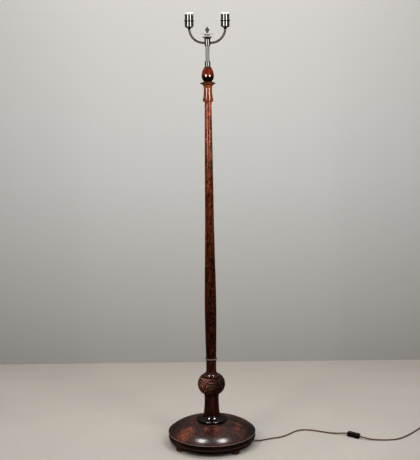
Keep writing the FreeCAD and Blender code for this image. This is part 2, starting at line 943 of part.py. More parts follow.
def make_arms():
    for side, sign, turn in (("left", "-1", "180"), ("right", "1", "0")):
        swept(
            f"arm_{side}",
            arm_route("arm_root"),
            "arm_radius",
            "arm_radius - arm_wall",
            f"{sign} * arm_root",
            "arm_level",
            turn,
        )
        route = arm_route("cord_radius")
        route[-1] = (route[-1][0], "arm_bend - neck_sink + block_floor")
        swept(f"arm_wire_{side}", route, "wire_radius", None, f"{sign} * cord_radius", "arm_level", turn)


def make_cup():
    outline = [
        ("stud_radius", "0"),
        ("cup_foot", "0"),
        ("cup_radius", "cup_height - cup_lip", bulge("cup_hollow", "in")),
        ("cup_radius", "cup_height"),
        ("cup_radius - cup_skin", "cup_height"),
        ("cup_foot", "cup_skin", bulge("cup_hollow", "in")),
        ("stud_radius", "cup_skin"),
    ]
    turned("hub_cup", outline, z="cup_level")


def make_dish():
    outline = [
        ("stud_radius + slide_gap", "0"),
        ("dish_neck", "0"),
        ("dish_neck", "dish_rise - dish_skin"),
        ("dish_radius", "dish_height - dish_skin", upright("in")),
        ("dish_radius", "dish_height"),
        ("dish_neck - dish_skin", "dish_rise", upright("in")),
        ("dish_neck - dish_skin", "cup_skin"),
        ("stud_radius + slide_gap", "cup_skin"),
    ]
    turned("shade_dish", outline, z="dish_level")


def make_finial():
    rod("top_stud", "stud_radius", "stud_length", z="cup_level - hub_roof - stud_tail")
    bore = "stud_radius + slide_gap"
    depth = "stud_length - hub_roof - 2 * cup_skin + drill_gap"
    outline = [
        (bore, "turn_gap"),
        ("finial_stem", "turn_gap"),
        ("finial_stem", "finial_stem_height"),
        ("finial_radius", "finial_waist", bulge("finial_hollow", "in")),
        ("finial_tip", "finial_height", bulge("finial_swell", "out")),
        ("0", "finial_height"),
        ("0", depth),
        (bore, depth),
    ]
    turned("finial", outline, z="finial_level")


# Lampholders ------------------------------------------------------------------------------------


def make_cap(side, at):
    outline = [
        ("arm_radius + glue_gap", "0"),
        ("cap_neck", "0"),
        ("cap_throat", "cap_throat_height"),
        ("cap_radius", "cap_shoulder", upright("out")),
        ("cap_radius", "cap_height"),
        ("cap_bore", "cap_height"),
        ("cap_bore", "cap_shoulder + cap_wall / 2"),
        ("cap_throat", "cap_throat_height + cap_wall", upright("out")),
        ("arm_radius + glue_gap", "cap_throat_height - cap_wall"),
    ]
    turned(f"holder_cap_{side}", outline, *at)


def make_sleeve(side, at):
    outline = [
        ("sleeve_bore", "skirt_floor"),
        ("cap_bore - slide_gap", "skirt_floor"),
        ("cap_bore - slide_gap", "cap_height"),
        ("ring_radius - ring_bevel", "cap_height"),
        ("ring_radius", "cap_height + ring_bevel"),
        ("ring_radius", "cap_height + ring_height - ring_bevel"),
        ("ring_radius - ring_bevel", "cap_height + ring_height"),
        ("sleeve_radius", "cap_height + ring_height"),
        ("sleeve_radius", "sleeve_height"),
        ("sleeve_bore", "sleeve_height"),
    ]
    turned(f"holder_sleeve_{side}", outline, *at)


def make_block(side, at):
    """Porcelain block held between the cap and the sleeve's skirt, with a well for the contact."""
    outline = [
        ("0", "block_floor"),
        ("cap_bore - glue_gap - block_bevel", "block_floor"),
        ("cap_bore - glue_gap", "block_floor + block_bevel"),
        ("cap_bore - glue_gap", "skirt_floor"),
        ("block_radius", "skirt_floor"),
        ("block_radius", "block_top"),
        ("shell_eye", "block_top"),
        ("shell_eye", "well_floor"),
        ("0", "well_floor"),
    ]
    block = turned(f"contact_block_{side}", outline, *at)
    hole = new_sketch(block, f"terminal_{side}", "XY_Plane")
    draw_circle(hole, "terminal_radius + glue_gap / 2", "0", "terminal_offset")
    depth = "block_floor + terminal_grip"
    drilling = pocket(block, hole, depth, f"terminal_hole_{side}", onward=True)
    polar(block, drilling, 2, f"terminal_holes_{side}")


def make_shell(side, at):
    """Threaded shell that the bulb's cap screws into, with an eye for the centre contact."""
    outer = "shell_radius + shell_wall"
    outline = [
        ("shell_eye", "block_top"),
        (outer, "block_top"),
        (outer, "block_top + shell_height"),
        ("shell_radius", "block_top + shell_height"),
        ("shell_radius", "block_top + shell_wall"),
        ("shell_eye", "block_top + shell_wall"),
    ]
    turned(f"thread_shell_{side}", outline, *at)


def make_rim(side, at):
    """Porcelain liner round the shell, with the white rim that shows above the sleeve."""
    bore = "shell_radius + shell_wall + slide_gap"
    outline = [
        (bore, "block_top"),
        ("sleeve_bore - glue_gap", "block_top"),
        ("sleeve_bore - glue_gap", "sleeve_height"),
        ("rim_radius", "sleeve_height"),
        ("rim_radius", "holder_height - rim_round"),
        ("rim_radius - rim_round", "holder_height", level("out")),
        (bore, "holder_height"),
    ]
    turned(f"porcelain_rim_{side}", outline, *at)


def make_contact(side, at):
    """Sprung centre contact, a bent strip in the block's well that ends below the shell's floor."""
    contact = new_body(f"centre_contact_{side}", *at)
    outline = [
        ("0", "well_floor"),
        ("contact_reach", "well_floor"),
        ("contact_reach", "well_floor + contact_skin"),
        ("contact_skin", "well_floor + contact_skin"),
        ("contact_tip", "contact_top"),
        ("contact_tip - contact_skin", "contact_top"),
        ("0", "well_floor + contact_skin * 2"),
    ]
    sketch = draw(new_sketch(contact, f"strip_{side}"), outline)
    pad(contact, sketch, "contact_width", f"strip_pad_{side}").SideType = "Symmetric"


def make_lampholders():
    screws = []
    for side, sign in (("left", -1), ("right", 1)):
        at = (f"{sign} * (holder_reach)", "0", "holder_level - neck_sink")
        for make in (make_cap, make_sleeve, make_block, make_shell, make_rim, make_contact):
            make(side, at)
        for half in (-1, 1):
            name = f"terminal_{side}_{'front' if half < 0 else 'back'}"
            y = f"{half} * terminal_offset"
            z = "holder_level - neck_sink + block_floor - terminal_rise"
            sizes = ("terminal_head", "terminal_rise", "terminal_radius", "terminal_grip")
            screws.append(screw(name, *sizes, at[0], y, z))
    group("terminal_screws", screws)


# Cord inside the lamp ---------------------------------------------------------------------------


def make_riser():
    """From the clamp along the underside, round into the tie rod and up the shaft."""
    run = "exit_reach - cord_bend"
    route = [
        ("0", "0"),
        (run, "0"),
        ("exit_reach", "cord_bend", level("out")),
        ("exit_reach", "slack_level - cord_level"),
    ]
    swept("riser_cord", route, "cord_radius", None, "exit_reach", "cord_level", "180")
    rod("cord_slack", "slack_radius", "mast_level - (slack_level)", z="slack_level")


def make_cord_clamp():
    """A saddle over the cord, screwed to the underside of the base."""
    clamp = new_body("cord_clamp", "exit_reach - clamp_length", z="cord_level")
    bow = "cord_radius + clamp_skin"
    under = "cord_radius - clamp_skin"
    half = "clamp_width / 2"
    outline = [
        (f"-{half}", "cord_radius"),
        (f"-{half}", under),
        (f"-({bow})", under),
        (f"-({bow})", "0"),
        ("0", f"-({bow})", upright("in")),
        (bow, "0", upright("out")),
        (bow, under),
        (half, under),
        (half, "cord_radius"),
        ("cord_radius", "cord_radius"),
        ("cord_radius", "0"),
        ("0", "-cord_radius", upright("out")),
        ("-cord_radius", "0", upright("in")),
        ("-cord_radius", "cord_radius"),
    ]
    profile = draw(new_sketch(clamp, "clamp_profile", "YZ_Plane"), outline)
    pad(clamp, profile, "clamp_length", "clamp_strap")
    heads = []
    for half in (-1, 1):
        head = doc.addObject("Part::Cylinder", f"clamp_screw_{'front' if half < 0 else 'back'}")
        head.setExpression("Radius", bound("clamp_head"))
        head.setExpression("Height", bound("clamp_head_height"))
        x = "exit_reach - clamp_length / 2"
        place(head, x, f"{half} * clamp_screw", "foot_height - clamp_skin - clamp_head_height")
        heads.append(head)
    group("clamp_screws", heads)


# Free cord --------------------------------------------------------------------------------------

# Lies loose on the floor from the clamp to the switch and from there to the coil.
LEAD_ROUTE = [
    (152, -3.2, 10.2),
    (165, -6.8, 7.2),
    (181, -5.6, 4.2),
    (201, 2.4, 2.95),
    (224, 13, 2.9),
    (246, 22.5, 2.9),
    (267, 27.5, 2.9),
    (289, 40, 2.9),
    (312, 63, 2.9),
    (339, 95.5, 2.9),
    (370, 111, 2.9),
    (404, 106, 2.9),
    (443, 89, 2.9),
    (480, 71, 3.1),
    (511, 59.5, 5.4),
    (532, 54, 8.1),
]
TAIL_ROUTE = [
    (606, 4, 8.1),
    (624, -3.2, 5.3),
    (646, -7.6, 3.1),
    (679, -11, 2.9),
    (714, -11.5, 2.9),
    (751, -0.5, 2.9),
    (788, 34, 2.9),
    (825, 77, 2.9),
    (857, 119, 2.9),
    (882, 147, 2.9),
]
TAIL_END_ANGLE = 130
COIL_TOP = 14.1
PLUG_END = [(958.8, 122, 12.8), (958.8, 104, 8.4), (958.8, 91, 6.85)]


def tangent_path(points):
    """Straight runs joined by arcs as large as the runs allow, and the smallest radius."""
    edges = []
    radii = []
    here = points[0]
    for before, corner, after in zip(points, points[1:], points[2:]):
        back = (before - corner).normalize()
        on = (after - corner).normalize()
        turn = math.pi - back.getAngle(on)
        reach = 0.45 * min((corner - before).Length, (after - corner).Length)
        radius = reach / math.tan(turn / 2)
        start = corner + back * reach
        end = corner + on * reach
        middle_way = (back + on).normalize()
        middle = corner + middle_way * (radius / math.cos(turn / 2) - radius)
        edges.append(Part.LineSegment(here, start).toShape())
        edges.append(Part.Arc(start, middle, end).toShape())
        radii.append(radius)
        here = end
    edges.append(Part.LineSegment(here, points[-1]).toShape())
    return Part.Wire(edges), min(radii) if radii else 0


def cord_tube(label, points):
    """A plain round cord along a route."""
    path, tightest = tangent_path([FreeCAD.Vector(*point) for point in points])
    radius = number("cord_radius")
    first = path.Edges[0]
    start = first.valueAt(first.FirstParameter)
    circle = Part.Circle(start, first.tangentAt(first.FirstParameter), radius)
    tube = path.makePipeShell([Part.Wire([circle.toShape()])], True, False)
    expected = math.pi * radius**2 * path.Length
    print(
        f"{label}: length {path.Length:.0f}, tightest radius {tightest:.0f}, "
        f"volume {tube.Volume / expected:.4f} of its section times its length"
    )
    feature = doc.addObject("Part::Feature", label)
    feature.Shape = tube
    return keep(feature, label)


def switch_end(side):
    """Where the cord meets the switch, at its left end for -1 and its right end for 1."""
    turn = math.radians(number("switch_turn"))
    reach = side * number("switch_length") / 2
    return (
        number("switch_reach") + reach * math.cos(turn),
        number("switch_side") + reach * math.sin(turn),
        number("switch_split"),
    )


def make_free_cord():
    clamp = (number("exit_reach"), 0, number("cord_level"))
    cord_tube("cord_lead", [clamp, *LEAD_ROUTE, switch_end(-1)])
    turn = math.radians(TAIL_END_ANGLE)
    outer = number("coil_radius + coil_width / 2 - cord_radius")
    centre = (number("coil_reach"), number("coil_side"))
    into_coil = (
        centre[0] + outer * math.cos(turn),
        centre[1] + outer * math.sin(turn),
        number("cord_radius + floor_gap"),
    )
    cord_tube("cord_tail", [switch_end(1), *TAIL_ROUTE, into_coil])
    out_of_coil = (centre[0] + outer, centre[1], COIL_TOP)
    boot = (centre[0] + outer, centre[1] - number("plug_distance"), number("plug_height") / 2)
    cord_tube("cord_end", [out_of_coil, *PLUG_END, boot])
    ring = [
        ("coil_radius - coil_width / 2", "floor_gap"),
        ("coil_radius + coil_width / 2", "floor_gap"),
        ("coil_radius + coil_width / 2", "floor_gap + coil_height"),
        ("coil_radius - coil_width / 2", "floor_gap + coil_height"),
    ]
    turned("cord_coil", ring, "coil_reach", "coil_side")


# Inline switch ----------------------------------------------------------------------------------

SWITCH = ("switch_reach", "switch_side")


def switch_half(label, floor, height, outer):
    """Half of the switch's housing: a block with rounded corners and a rounded outer face."""
    body = new_body(label, *SWITCH, floor, "switch_turn")
    outline = draw_box(new_sketch(body, f"{label}_outline", "XY_Plane"), "switch_length", "switch_width")
    block = pad(body, outline, height, f"{label}_block")
    corners = round_edges(
        body,
        block,
        "switch_corner",
        lambda edge: edge.BoundBox.ZLength > 1,
        f"{label}_corners",
    )
    level_of_face = number(outer)
    round_edges(
        body,
        corners,
        "switch_round",
        lambda edge: edge.BoundBox.ZLength < 1 and abs(edge.CenterOfMass.z - level_of_face) < 1,
        f"{label}_round",
    )
    return body


def switch_cavity(body, floor, depth):
    """Hollows a half from a level inside it, leaving solid ends that hold the cord."""
    cavity = new_sketch(body, f"{body.Name}_cavity", "XY_Plane")
    cavity.setExpression(".AttachmentOffset.Base.z", bound(floor))
    draw_box(cavity, "switch_length - 2 * switch_end", "switch_width - 2 * switch_wall")
    pocket(body, cavity, depth, f"{body.Name}_hollow", onward=True)


def make_switch_base():
    body = switch_half("switch_base", "0", "switch_split", "0")
    switch_cavity(body, "switch_wall", "switch_split - switch_wall")


def make_switch_cover():
    height = "switch_height - switch_split"
    body = switch_half("switch_cover", "switch_split", height, height)
    switch_cavity(body, "0", f"{height} - switch_wall")
    window = draw_box(
        new_sketch(body, "switch_window", "XY_Plane"),
        "rocker_length + 2 * rocker_gap",
        "rocker_width + 2 * open_gap",
    )
    pocket(body, window, height, "switch_cover_window", onward=True)
    axle = new_sketch(body, "axle_bearing", "XZ_Plane")
    draw_circle(axle, "rocker_axle + slide_gap", "0", "rocker_pivot - switch_split")
    pocket_both_ways(body, axle, "switch_width - switch_wall", "axle_bearings")


def make_rocker():
    """A rocker with a dished face on an axle across the switch, resting with one end pressed."""
    body = new_body("switch_rocker", *SWITCH, "rocker_pivot", "switch_turn")
    across = FreeCAD.Rotation(FreeCAD.Vector(0, 1, 0), number("rocker_tilt"))
    body.Placement = FreeCAD.Placement(body.Placement.Base, body.Placement.Rotation * across)
    half = "rocker_length / 2"
    outline = [
        (f"-{half}", "rocker_rise", bulge("rocker_dip", "down")),
        (f"rocker_slant - {half}", "-rocker_axle"),
        (f"{half} - rocker_slant", "-rocker_axle"),
        (half, "rocker_rise"),
    ]
    sides = draw(new_sketch(body, "rocker_outline", "XZ_Plane"), outline)
    pad(body, sides, "rocker_width", "rocker_block").SideType = "Symmetric"
    axle = draw_circle(new_sketch(body, "rocker_axle_end", "XZ_Plane"), "rocker_axle")
    pad(body, axle, "switch_width - 1.5 * switch_wall", "rocker_axle_bar").SideType = "Symmetric"


def make_switch():
    make_switch_base()
    make_switch_cover()
    make_rocker()
    strip = new_body("switch_contact", *SWITCH, "switch_wall", "switch_turn")
    face = draw_box(new_sketch(strip, "strip_face", "XY_Plane"), "strip_length", "strip_width")
    pad(strip, face, "contact_skin", "strip_blank")


# Plug -------------------------------------------------------------------------------------------


def make_plug():
    """A flat two-pin plug that points along -Y, with a tapered boot where the cord goes in."""
    x = "coil_reach + coil_radius + coil_width / 2 - cord_radius"
    y = "coil_side - plug_distance"
    z = "plug_height / 2"
    body = new_body("plug_body", x, y, z)
    boot = draw(
        new_sketch(body, "boot_outline", "XY_Plane"),
        [
            ("0", "0"),
            ("boot_tip", "0"),
            ("boot_radius", "boot_length"),
            ("0", "boot_length"),
        ],
    )
    cone = body.newObject("PartDesign::Revolution", "boot")
    cone.Profile = (boot, [""])
    cone.ReferenceAxis = (boot, ["V_Axis"])
    cone.Angle = 360
    sections = []
    for index, (along, width, height) in enumerate(
        (
            ("boot_length", "boot_radius * 2", "boot_radius * 2"),
            ("boot_length + plug_shoulder", "plug_waist", "plug_height"),
            ("boot_length + plug_length", "plug_width", "plug_height"),
        )
    ):
        sketch = new_sketch(body, f"plug_section_{index}", "XZ_Plane")
        sketch.AttachmentOffset = FreeCAD.Placement(FreeCAD.Vector(0, 0, 1), FreeCAD.Rotation())
        sketch.setExpression(".AttachmentOffset.Base.z", bound(f"-({along})"))
        draw_box(sketch, width, height)
        sections.append(sketch)
    loft = body.newObject("PartDesign::AdditiveLoft", "plug_loft")
    loft.Profile = (sections[0], [""])
    loft.Sections = [(section, [""]) for section in sections[1:]]
    loft.Ruled = True
    spin = FreeCAD.Rotation(FreeCAD.Vector(0, 0, 1), 180)
    body.Placement = FreeCAD.Placement(body.Placement.Base, spin)
    pins = []
    for half in (-1, 1):
        pin = doc.addObject("Part::Cylinder", f"pin_{'a' if half < 0 else 'b'}")
        pin.setExpression("Radius", bound("pin_radius"))
        pin.setExpression("Height", bound("pin_length"))
        place(pin, f"{x} + {half} * pin_spacing / 2", f"{y} - boot_length - plug_length", z)
        forward = FreeCAD.Rotation(FreeCAD.Vector(1, 0, 0), 90)
        pin.Placement = FreeCAD.Placement(pin.Placement.Base, forward)
        pins.append(pin)
    group("plug_pins", pins)


for build in (
    make_base,
    make_feet,
    make_ballast,
    make_tie_rod,
    make_pedestal,
    make_ball,
    make_neck,
    make_shaft,
    make_capital,
    make_knop,
    make_guide,
    make_collet,
    make_clamp_nut,
    make_mast,
    make_hub,
    make_arms,
    make_cup,
    make_dish,
    make_finial,
    make_lampholders,
    make_riser,
    make_cord_clamp,
    make_free_cord,
    make_switch,
    make_plug,
):
    build()
doc.recompute()

faults = [item.Name for item in doc.Objects if {"Invalid", "Error"} & set(item.State)]
for label, piece in nodes.items():
    if piece.Shape.isNull() or not piece.Shape.isValid() or not piece.Shape.Solids:
        faults.append(label)
if faults:
    raise ValueError(f"these failed: {sorted(set(faults))}")

os.makedirs("parts", exist_ok=True)
for label, piece in nodes.items():
    piece.Shape.exportStep(f"parts/{label}.step")
print(f"{len(nodes)} nodes")
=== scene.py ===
import math

import bmesh
import bpy
from mathutils import Matrix, Vector


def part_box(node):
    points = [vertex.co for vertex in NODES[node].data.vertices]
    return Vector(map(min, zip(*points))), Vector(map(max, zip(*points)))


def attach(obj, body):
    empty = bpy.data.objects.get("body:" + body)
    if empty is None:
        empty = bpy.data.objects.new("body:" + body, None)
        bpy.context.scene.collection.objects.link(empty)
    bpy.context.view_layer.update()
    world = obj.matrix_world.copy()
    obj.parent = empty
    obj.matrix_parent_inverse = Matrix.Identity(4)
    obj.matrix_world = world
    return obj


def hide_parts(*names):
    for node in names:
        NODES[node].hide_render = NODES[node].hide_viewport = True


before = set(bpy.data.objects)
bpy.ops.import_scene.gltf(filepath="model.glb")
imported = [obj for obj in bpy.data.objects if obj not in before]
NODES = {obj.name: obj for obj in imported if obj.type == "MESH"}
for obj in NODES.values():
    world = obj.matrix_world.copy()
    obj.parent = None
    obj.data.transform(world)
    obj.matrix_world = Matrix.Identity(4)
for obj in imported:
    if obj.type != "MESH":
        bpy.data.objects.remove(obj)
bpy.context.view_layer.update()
SIDES = ("left", "right")

# The photograph's view: a camera at standing height, tilted down and rolled a little.
IMAGE_HEIGHT = 460
SENSOR = 36.0
FOCAL_PIXELS = 1015.0
CAMERA_PLACE = (0.0015, -3.85, 1.53)
CAMERA_TILT = math.radians(-9.9)
CAMERA_ROLL = math.radians(-0.68)
WALL_DISTANCE = 1.06

# The cord, in metres: its route over the floor, through the switch and into the coil.
CORD_RADIUS = 0.0028
CORD_EXIT = (0.139, 0.0, 0.0112)
LEAD_ROUTE = [
    (0.152, -0.0032, 0.0102),
    (0.165, -0.0068, 0.0072),
    (0.181, -0.0056, 0.0042),
    (0.201, 0.0024, 0.00295),
    (0.224, 0.013, 0.0029),
    (0.246, 0.0225, 0.0029),
    (0.267, 0.0275, 0.0029),
    (0.289, 0.04, 0.0029),
    (0.312, 0.063, 0.0029),
    (0.339, 0.0955, 0.0029),
    (0.370, 0.111, 0.0029),
    (0.404, 0.106, 0.0029),
    (0.443, 0.089, 0.0029),
    (0.480, 0.071, 0.0031),
    (0.511, 0.0595, 0.0054),
    (0.532, 0.054, 0.0081),
]
TAIL_ROUTE = [
    (0.606, 0.004, 0.0081),
    (0.624, -0.0032, 0.0053),
    (0.646, -0.0076, 0.0031),
    (0.679, -0.011, 0.0029),
    (0.714, -0.0115, 0.0029),
    (0.751, -0.0005, 0.0029),
    (0.788, 0.034, 0.0029),
    (0.825, 0.077, 0.0029),
    (0.857, 0.119, 0.0029),
    (0.882, 0.147, 0.0029),
]
PLUG_ROUTE = [(0.9588, 0.122, 0.0128), (0.9588, 0.104, 0.0084), (0.9588, 0.091, 0.00685)]
SWITCH_CENTRE = (0.56975, 0.02985)
SWITCH_TURN = math.radians(-38)
SWITCH_HALF = 0.0265
SWITCH_LEVEL = 0.0092
COIL_CENTRE = (0.925, 0.139)
COIL_START = math.radians(130)
COIL_TURNING = math.radians(1930)
COIL_OUTER = 0.0338
COIL_STEP = math.radians(15)
COIL_TOP = 0.0141


# Camera and cord --------------------------------------------------------------------------------


def make_camera():
    data = bpy.data.cameras.new("camera")
    data.sensor_width = SENSOR
    data.lens = FOCAL_PIXELS * SENSOR / IMAGE_HEIGHT
    camera = bpy.data.objects.new("camera", data)
    bpy.context.scene.collection.objects.link(camera)
    camera.location = CAMERA_PLACE
    tilt = Matrix.Rotation(math.pi / 2 + CAMERA_TILT, 4, "X")
    camera.rotation_euler = (tilt @ Matrix.Rotation(CAMERA_ROLL, 4, "Z")).to_euler()
    bpy.context.scene.camera = camera


def ease(value):
    """Smooth step from 0 to 1."""
    value = min(max(value, 0.0), 1.0)
    return value * value * (3 - 2 * value)


# Where the coil's turns change lane: degrees of winding at which a rise and a shift begin and end.
LANE_CHANGES = [
    {"shift": (-1, 285, 360), "rise": (0, 0, 1)},
    {"shift": (0, 0, 1), "rise": (1, 600, 645)},
    {"shift": (1, 930, 990), "rise": (0, 0, 1)},
    {"shift": (-1, 1245, 1290), "rise": (1, 1245, 1290)},
    {"shift": (1, 1560, 1605), "rise": (0, 0, 1)},
]


def coil_points():
    """Turns that lie beside and on each other, wound clockwise from the floor up."""
    points = []
    for step in range(1, round(COIL_TURNING / COIL_STEP)):
        wound = step * COIL_STEP
        degrees = math.degrees(wound)
        radius = COIL_OUTER
        height = CORD_RADIUS + 0.0001
        for change in LANE_CHANGES:
            for kind in ("shift", "rise"):
                size, begin, end = change[kind]
                moved = size * 2 * CORD_RADIUS * ease((degrees - begin) / (end - begin))
                if kind == "shift":
                    radius += moved
                else:
                    height += moved
        angle = COIL_START - wound
        x = COIL_CENTRE[0] + radius * math.cos(angle)
        y = COIL_CENTRE[1] + radius * math.sin(angle)
        points.append((x, y, height))
    return points


def cord_points():
    along = Vector((math.cos(SWITCH_TURN), math.sin(SWITCH_TURN), 0))
    centre = Vector((*SWITCH_CENTRE, SWITCH_LEVEL))
    through_switch = [tuple(centre + along * reach * SWITCH_HALF) for reach in (-1, 0, 1)]
    start = (
        COIL_CENTRE[0] + COIL_OUTER * math.cos(COIL_START),
        COIL_CENTRE[1] + COIL_OUTER * math.sin(COIL_START),
        CORD_RADIUS + 0.0001,
    )
    end = (PLUG_ROUTE[0][0], COIL_CENTRE[1], COIL_TOP)
    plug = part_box("plug_body")
    into_plug = (PLUG_ROUTE[-1][0], plug[1][1], PLUG_ROUTE[-1][2])
    return [
        CORD_EXIT,
        *LEAD_ROUTE,
        *through_switch,
        *TAIL_ROUTE,
        start,
        *coil_points(),
        end,
        *PLUG_ROUTE,
        into_plug,
    ]


def make_cord():
    """The cord as one curve, whose points carry its radius."""
    points = cord_points()
    data = bpy.data.curves.new("cord", "CURVE")
    data.dimensions = "3D"
    data.bevel_depth = 1.0
    data.bevel_resolution = 6
    data.use_fill_caps = True
    data.resolution_u = 8
    spline = data.splines.new("NURBS")
    spline.points.add(len(points) - 1)
    for point, place in zip(spline.points, points):
        point.co = (*place, 1)
        point.radius = CORD_RADIUS
    spline.order_u = 3
    spline.use_endpoint_u = True
    cord = bpy.data.objects.new("cord", data)
    bpy.context.scene.collection.objects.link(cord)
    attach(cord, "stand")
    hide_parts("cord_lead", "cord_tail", "cord_coil", "cord_end")
    return cord


# Materials --------------------------------------------------------------------------------------


def add_node(tree, kind, inputs=None, **settings):
    """A shader node with its settings, whose inputs are linked or given a value."""
    node = tree.nodes.new(f"ShaderNode{kind}")
    for name, value in settings.items():
        setattr(node, name, value)
    for name, value in (inputs or {}).items():
        if isinstance(value, bpy.types.NodeSocket):
            tree.links.new(value, node.inputs[name])
        else:
            node.inputs[name].default_value = value
    return node


def add_ramp(tree, factor, stops):
    """Colours or greys along a factor, as (position, colour) pairs."""
    ramp = add_node(tree, "ValToRGB", {"Fac": factor})
    elements = ramp.color_ramp.elements
    while len(elements) < len(stops):
        elements.new(0.5)
    for element, (position, colour) in zip(elements, stops):
        element.position = position
        value = (colour,) * 3 if isinstance(colour, (int, float)) else colour
        element.color = (*value, 1)
    return ramp.outputs["Color"]


class Finish:
    """A procedural material, built node by node."""

    def __init__(self, name, **values):
        self.material = bpy.data.materials.new(name)
        self.material.use_nodes = True
        self.tree = self.material.node_tree
        self.surface = self.tree.nodes["Principled BSDF"]
        for socket, value in values.items():
            self.surface.inputs[socket.replace("_", " ")].default_value = value

    def node(self, kind, inputs=None, **settings):
        return add_node(self.tree, kind, inputs, **settings)

    def ramp(self, factor, stops):
        return add_ramp(self.tree, factor, stops)

    def object_place(self):
        """Places on the object in metres."""
        return self.node("TexCoord").outputs["Object"]

    def scaled_place(self, *scale):
        """Places on the object in metres, stretched by scale."""
        inputs = {"Vector": self.object_place(), "Scale": scale}
        return self.node("Mapping", inputs).outputs["Vector"]

    def noise(self, vector, scale, detail=4.0, roughness=0.55, distortion=0.0):
        inputs = {
            "Vector": vector,
            "Scale": scale,
            "Detail": detail,
            "Roughness": roughness,
            "Distortion": distortion,
        }
        return self.node("TexNoise", inputs).outputs["Fac"]

    def mix(self, factor, first, second, blend="MIX"):
        """Mixes two colours; a colour is a socket or three numbers."""
        inputs = {0: factor, 6: first, 7: second}
        for index in (6, 7):
            if not isinstance(inputs[index], bpy.types.NodeSocket):
                inputs[index] = (*inputs[index], 1)
        return self.node("Mix", inputs, data_type="RGBA", blend_type=blend).outputs[2]

    def multiply(self, first, second):
        return self.mix(1.0, first, second, "MULTIPLY")

    def math(self, operation, first, second=0.5):
        return self.node("Math", {0: first, 1: second}, operation=operation).outputs[0]

    def height(self):
        """Height above the floor in metres."""
        return self.node("SeparateXYZ", {"Vector": self.object_place()}).outputs["Z"]

    def out(self):
        """Distance from the lamp's axis in metres."""
        flat = self.scaled_place(1, 1, 0)
        return self.node("VectorMath", {0: flat}, operation="LENGTH").outputs["Value"]

    def span(self, value, low, high, start=0.0, end=1.0):
        """Start where the value is low or less, end where it is high or more."""
        inputs = {"Value": value, "From Min": low, "From Max": high, "To Min": start, "To Max": end}
        return self.node("MapRange", inputs).outputs["Result"]

    def off(self, value, middle):
        """How far a value is from the middle, either way."""
        return self.math("ABSOLUTE", self.math("SUBTRACT", value, middle))

    def near(self, spot, inner, outer):
        """1 within inner metres of a spot on the object, falling to 0 at outer."""
        inputs = {0: self.object_place(), 1: spot}
        away = self.node("VectorMath", inputs, operation="DISTANCE").outputs["Value"]
        return self.span(away, inner, outer, 1.0, 0.0)

    def bump(self, height, strength, distance):
        inputs = {"Height": height, "Strength": strength, "Distance": distance}
        self.link(self.node("Bump", inputs).outputs["Normal"], "Normal")

    def link(self, source, socket):
        self.tree.links.new(source, self.surface.inputs[socket])

    def cover(self, *objects):
        for item in objects:
            if not item.data.materials:
                item.data.materials.append(self.material)
            for slot in item.material_slots:
                slot.material = self.material

    def cover_nodes(self, *names):
        self.cover(*[NODES[name] for name in names])


def lacquered(name, weight, gloss):
    """A matt ground under clear lacquer, which alone shines."""
    lacquer = {"Coat_Weight": weight, "Coat_Roughness": gloss, "Coat_IOR": 1.5}
    return Finish(name, **lacquer, Specular_IOR_Level=0.0)


FEET = [name for name in NODES if name.startswith("foot_")]

# Turned pieces: the dark, middle and light tone of the stained wood, the lacquer's roughness, how
# strong the mottle is, and what the colour is multiplied by along a stretch of heights in metres:
# painted shade on the capital and egg knop, and darker towards the bottom on the shaft and pedestal.
TURNINGS = {
    "shaft_lacquer": {
        "tones": ((0.05, 0.009, 0.004), (0.2, 0.04, 0.014), (0.4, 0.1, 0.035)),
        "gloss": 0.05,
        "mottle": 0.85,
        "stretch": (0.34, 1.35),
        "height_tones": [(0.0, 0.12), (0.25, 0.18), (0.5, 0.34), (0.75, 0.72), (0.92, 1.3), (1.0, 1.5)],
        "pieces": ["main_shaft"],
    },
    "capital_lacquer": {
        "tones": ((0.09, 0.018, 0.005), (0.26, 0.055, 0.012), (0.42, 0.12, 0.028)),
        "gloss": 0.05,
        "stretch": (1.411, 1.418),
        # Painted shade: a dark band at the capital's top, under its flared rim.
        "height_tones": [(0.0, 1.0), (0.45, 0.12), (1.0, 0.4)],
        "pieces": ["capital"],
    },
    "knop_lacquer": {
        "tones": ((0.06, 0.006, 0.002), (0.15, 0.015, 0.005), (0.27, 0.04, 0.011)),
        "gloss": 0.04,
        "stretch": (1.425, 1.452),
        # Painted shade: the egg knop's lower part darkens to near-black.
        "height_tones": [(0.0, 0.004), (0.55, 0.05), (1.0, 1.0)],
        "pieces": ["egg_knop"],
    },
    "neck_lacquer": {
        "tones": ((0.01, 0.003, 0.002), (0.045, 0.01, 0.005), (0.1, 0.024, 0.01)),
        "gloss": 0.05,
        "mottle": 0.3,
        "pieces": ["neck"],
    },
    "bead_painted_highlight": {
        # The bead ring's pale grey tones are a painted highlight along its top.
        "tones": ((0.05, 0.03, 0.027), (0.2, 0.14, 0.13), (0.3, 0.22, 0.2)),
        "gloss": 0.05,
        "pieces": ["bead_ring"],
    },
    "dark_lacquer": {
        "tones": ((0.008, 0.002, 0.0015), (0.035, 0.008, 0.004), (0.08, 0.018, 0.008)),
        "gloss": 0.04,
        "mottle": 0.3,
        "stretch": (0.1, 0.14),
        "height_tones": [(0.0, 0.12), (1.0, 1.0)],
        "pieces": ["pedestal"],
    },
    "foot_lacquer": {
        "tones": ((0.03, 0.007, 0.004), (0.09, 0.02, 0.012), (0.15, 0.036, 0.02)),
        "gloss": 0.05,
        "pieces": FEET,
    },
}


